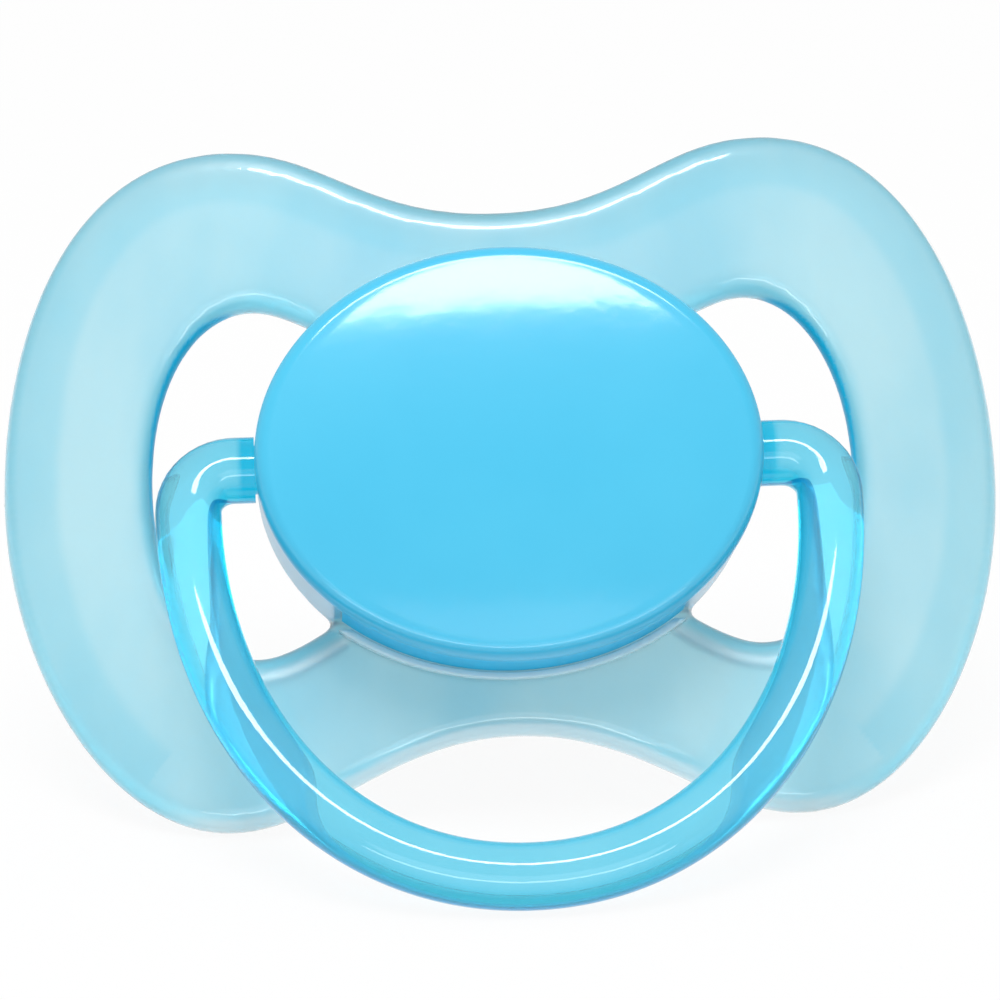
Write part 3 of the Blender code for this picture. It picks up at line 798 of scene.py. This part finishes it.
def plugMesh():
    stemBack = plugBack - plug["stemLength"]
    hollow = stemRadius - plug["wall"]
    return roundLathe("plug", [
        (0.0, stemBack + plug["wall"]), (hollow, stemBack + plug["wall"]), (hollow, plugFront),
        (teat["flange"], plugFront), (teat["flange"], plugBack), (stemRadius, plugBack),
        (stemRadius, stemBack + plug["chamfer"]), (stemRadius - plug["chamfer"], stemBack),
        (0.0, stemBack)])


# The five pieces on their bodies
addPiece("mouldedShield", shieldMesh(), hubPlace, milkyPolypropylene,
         "soother", "shield")
addPiece("ovalCover", coverMesh(), hubPlace, polishedPolypropylene,
         "soother", "button_cover", sharpAngle=32)
addPiece("ringBar", ringMesh(), ringPlace, clearPolypropylene,
         "ring", "ring_handle", sharpAngle=35)
addPiece("siliconeTeat", teatMesh(), hubPlace, clearSilicone,
         "soother", "teat", sharpAngle=40)
addPiece("neckPlug", plugMesh(), hubPlace, naturalPolypropylene,
         "soother", "plug", sharpAngle=40)


# Stage: pale floor, white surroundings, soft lamps and the camera of the photograph

stage = {"floorSize": 6.0, "floorColour": "#F4F4F4", "white": "#FFFFFF",
         "floorGlow": 0.93, "floorThrough": 0.9, "worldStrength": 0.55,
         "lamps": [                     # name, place, width and height, power, seen in gloss only
             ("keySoftbox", (-0.05, -0.20, 0.62), (0.30, 0.30), 2.6, False),
             ("topCard", (0.01, -0.207, 0.408), (0.28, 0.054), 0.90, True),
             ("frontCard", (0.0, -0.95, 0.20), (0.90, 0.42), 1.4, True),
             ("lowStrip", (0.0, -0.95, 0.06), (1.20, 0.08), 1.6, True)]}


def floorMaterial():
    # camera, mirror and see-through rays meet a white that still takes a faint shadow
    material = bpy.data.materials.new("paleFloor")
    material.use_nodes = True
    tree = material.node_tree
    tree.nodes.clear()
    path = addNode(tree, "ShaderNodeLightPath").outputs
    direct = addNode(tree, "ShaderNodeMath", {"operation": "MAXIMUM"}, links={
        0: path["Is Camera Ray"], 1: path["Is Glossy Ray"]})
    through = addNode(tree, "ShaderNodeMath", {"operation": "MULTIPLY"}, {1: stage["floorThrough"]},
                      {0: path["Is Transmission Ray"]})
    seen = addNode(tree, "ShaderNodeMath", {"operation": "MAXIMUM"}, links={
        0: direct.outputs["Value"], 1: through.outputs["Value"]})
    share = addNode(tree, "ShaderNodeMath", {"operation": "MULTIPLY"}, {1: stage["floorGlow"]},
                    {0: seen.outputs["Value"]})
    matt = addNode(tree, "ShaderNodeBsdfDiffuse", values={"Color": hexColour(stage["floorColour"])})
    glow = addNode(tree, "ShaderNodeEmission",
                   values={"Color": hexColour(stage["white"]), "Strength": 1.0})
    mixed = addNode(tree, "ShaderNodeMixShader", links={
        "Fac": share.outputs["Value"], 1: matt.outputs["BSDF"], 2: glow.outputs["Emission"]})
    addNode(tree, "ShaderNodeOutputMaterial", links={"Surface": mixed.outputs["Shader"]})
    return material


def studioWorld():
    # white to the eye and through clear plastic, calmer as light and in gloss
    world = bpy.data.worlds.new("studio")
    world.use_nodes = True
    tree = world.node_tree
    tree.nodes.clear()
    path = addNode(tree, "ShaderNodeLightPath").outputs
    seen = addNode(tree, "ShaderNodeMath", {"operation": "MAXIMUM"}, links={
        0: path["Is Camera Ray"], 1: path["Is Transmission Ray"]})
    level = addNode(tree, "ShaderNodeMapRange", values={"To Min": stage["worldStrength"], "To Max": 1.0},
                    links={"Value": seen.outputs["Value"]})
    sky = addNode(tree, "ShaderNodeBackground", values={"Color": hexColour(stage["white"])},
                  links={"Strength": level.outputs["Result"]})
    addNode(tree, "ShaderNodeOutputWorld", links={"Surface": sky.outputs["Background"]})
    return world


def addLamp(name, place, size, power, glossOnly):
    # a card that only shows in gloss, or a softbox that only gives light
    data = bpy.data.lights.new(name, "AREA")
    data.shape = "RECTANGLE"
    data.size, data.size_y = size
    data.energy = power
    lamp = bpy.data.objects.new(name, data)
    lamp.location = place
    lamp.rotation_euler = (hub - Vector(place)).to_track_quat("-Z", "Y").to_euler()
    lamp.visible_glossy = glossOnly
    lamp.visible_diffuse = not glossOnly
    lamp.visible_transmission = not glossOnly
    bpy.context.scene.collection.objects.link(lamp)


half = stage["floorSize"] / 2
floorMesh = bpy.data.meshes.new("floor")
floorMesh.from_pydata([(-half, -half, 0), (half, -half, 0), (half, half, 0), (-half, half, 0)],
                      [], [(0, 1, 2, 3)])
floorMesh.materials.append(floorMaterial())
floor = bpy.data.objects.new("floor", floorMesh)
bpy.context.scene.collection.objects.link(floor)
bpy.context.scene.world = studioWorld()
bpy.context.scene.view_settings.view_transform = "Standard"
for lamp in stage["lamps"]:
    addLamp(*lamp)

# Camera, fitted to the outlines in the photograph: the hub's place in pixels, the view in degrees
photo = {"side": 1000, "hubX": 505.25, "hubY": 473.14, "pixelsPerMetre": 17383.0,
         "distance": 0.2973, "elevation": 19.06, "turn": 2.875, "roll": 0.985,
         "sensor": 36.0, "clip": (0.01, 20.0)}
rise, turn = radians(photo["elevation"]), radians(photo["turn"])
backward = Vector((-sin(turn) * cos(rise), -cos(turn) * cos(rise), sin(rise)))
roll = Matrix.Rotation(-radians(photo["roll"]), 3, "Z")
pose = (-backward).to_track_quat("-Z", "Y").to_matrix() @ roll
middle = hub - pose.col[0] * ((photo["hubX"] - photo["side"] / 2) / photo["pixelsPerMetre"])
middle += pose.col[1] * ((photo["hubY"] - photo["side"] / 2) / photo["pixelsPerMetre"])
cameraData = bpy.data.cameras.new("camera")
cameraData.sensor_width = photo["sensor"]
cameraData.lens = photo["pixelsPerMetre"] * photo["distance"] * photo["sensor"] / photo["side"]
cameraData.clip_start, cameraData.clip_end = photo["clip"]
camera = bpy.data.objects.new("camera", cameraData)
camera.matrix_world = Matrix.Translation(middle + backward * photo["distance"]) @ pose.to_4x4()
bpy.context.scene.collection.objects.link(camera)
bpy.context.scene.camera = camera
print("stage: floor, lamps and camera")
